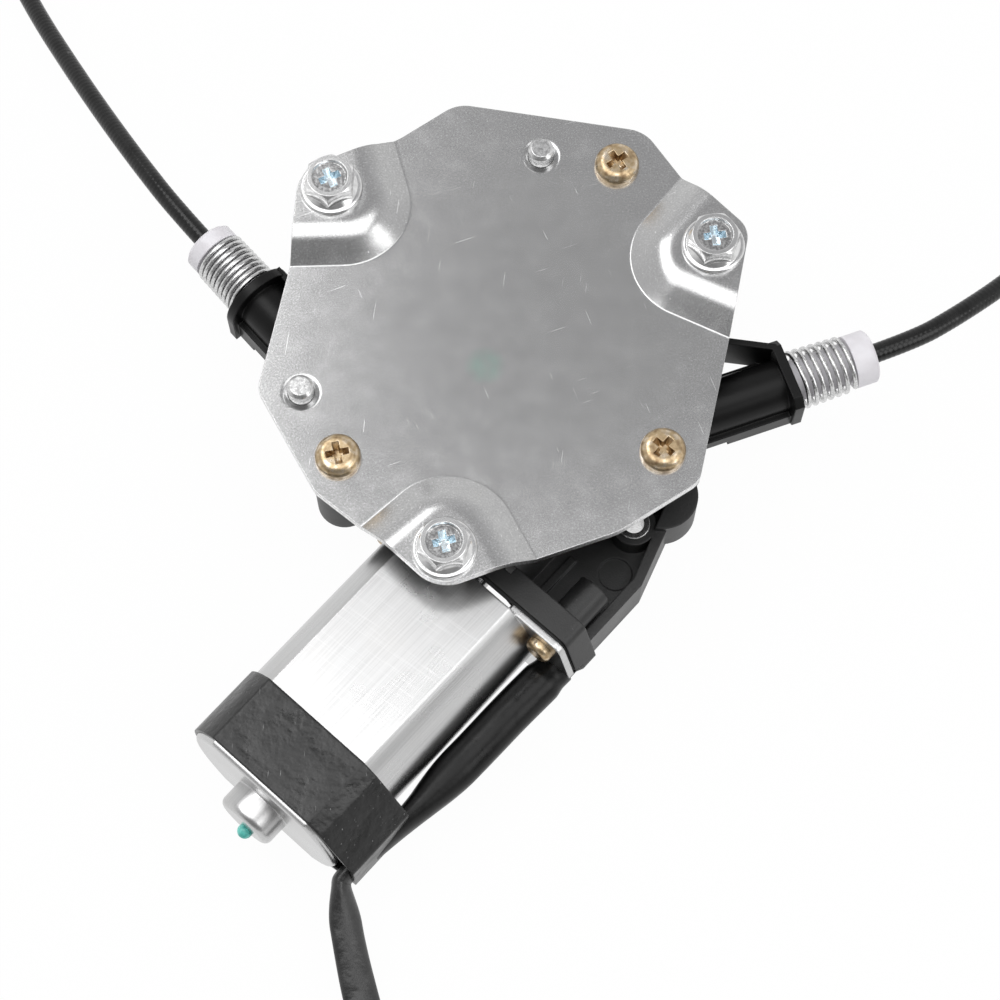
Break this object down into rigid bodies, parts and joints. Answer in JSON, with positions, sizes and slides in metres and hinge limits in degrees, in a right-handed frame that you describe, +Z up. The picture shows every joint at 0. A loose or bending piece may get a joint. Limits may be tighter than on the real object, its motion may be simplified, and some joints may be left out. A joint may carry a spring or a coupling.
{
  "type": "window regulator",
  "caption": "Drive unit of a cable window regulator: steel mounting plate, grooved drum, worm gear and motor, with sheathed cables and wiring.",
  "frame": {"origin": "on the drum's axis, in the plane that the unit lies on", "axes": "+Z up along the drum's axis through the mounting plate; +X to the right and +Y away from the motor's closed end, as the unit is seen from above"},
  "size_m": [0.2774, 0.3506, 0.0505],
  "materials": {
    "galvanised_steel": "satin",
    "blue_zinc_steel": "satin",
    "yellow_zinc_steel": "satin",
    "pin_steel": "satin",
    "can_steel": "brushed",
    "spring_steel": "polished",
    "core_steel": "satin",
    "sintered_bronze": "porous",
    "ferrite": "matt",
    "zinc_casting": "cast",
    "copper": "satin",
    "black_plastic": "moulded",
    "white_plastic": "moulded",
    "natural_plastic": "moulded",
    "card_plastic": "moulded",
    "carbon": "matt",
    "black_band": "semi-gloss",
    "sealing_paint": "gloss",
    "black_rubber": "matt",
    "conduit_black": "semi-gloss",
    "wiring_sleeve": "soft"
  },
  "bodies": {
    "unit": {"brush_card": "card_plastic", "brush_springs": "spring_steel", "brushes": "carbon", "clinch_nuts": "blue_zinc_steel", "drum_housing": "black_plastic", "ear_bolts": "blue_zinc_steel", "front_bearings": "sintered_bronze", "gear_cover": "galvanised_steel", "gear_housing": "black_plastic", "harness_connector": "black_plastic", "harness_flat": "wiring_sleeve", "harness_grommet": "black_rubber", "harness_sleeve": "wiring_sleeve", "harness_tail": "wiring_sleeve", "harness_terminals": "copper", "housing_bush": "pin_steel", "left_inner_cable": "spring_steel", "left_spring": "spring_steel", "locating_pins": "pin_steel", "magnet_clips": "spring_steel", "magnets": "ferrite", "motor_can": "can_steel", "motor_end_band": "black_band", "motor_gasket": "black_rubber", "motor_screws": "yellow_zinc_steel", "mounting_plate": "galvanised_steel", "pan_screws": "yellow_zinc_steel", "rear_bearing": "sintered_bronze", "right_inner_cable": "spring_steel", "right_spring": "spring_steel", "sealing_dot": "sealing_paint", "thrust_ball": "spring_steel", "thrust_washer": "pin_steel", "wheel_post": "pin_steel"},
    "armature": {"armature_shaft": "spring_steel", "worm": "pin_steel", "armature_core": "core_steel", "armature_windings": "copper", "commutator": "copper"},
    "drum": {"worm_wheel": "natural_plastic", "damper": "black_rubber", "drive_plate": "galvanised_steel", "cable_drum": "natural_plastic", "cable_wraps": "spring_steel", "drum_nipples": "zinc_casting"},
    "left_end": {"left_sleeve": "white_plastic", "left_conduit": "conduit_black", "left_ferrule": "zinc_casting", "left_end_cable": "spring_steel", "left_cable_end": "zinc_casting"},
    "right_end": {"right_sleeve": "white_plastic", "right_conduit": "conduit_black", "right_ferrule": "zinc_casting", "right_end_cable": "spring_steel", "right_cable_end": "zinc_casting"}
  },
  "joints": [
    {"name": "armature_spin", "type": "hinge", "parent": "unit", "child": "armature", "pos_m": [0.02304, -0.02074, 0.0165], "axis": [0.6691, 0.7431, 0], "range_deg": [-23400, 23400]},
    {"name": "drum_spin", "type": "hinge", "parent": "unit", "child": "drum", "pos_m": [0, 0, 0.03], "axis": [0, 0, 1], "range_deg": [-450, 450]},
    {"name": "left_sleeve_slide", "type": "slide", "parent": "unit", "child": "left_end", "axis": [0.6626, -0.749, 0], "range_m": [0, 0.003], "stiffness_N_per_m": 2000, "springref_m": -0.002, "deforming": ["left_spring"]},
    {"name": "right_sleeve_slide", "type": "slide", "parent": "unit", "child": "right_end", "axis": [-0.9421, -0.3355, 0], "range_m": [0, 0.0045], "stiffness_N_per_m": 2000, "springref_m": -0.002, "deforming": ["right_spring"]}
  ],
  "couplings": [
    {"joint": "drum_spin", "follows": "armature_spin", "ratio": -0.019231}
  ]
}
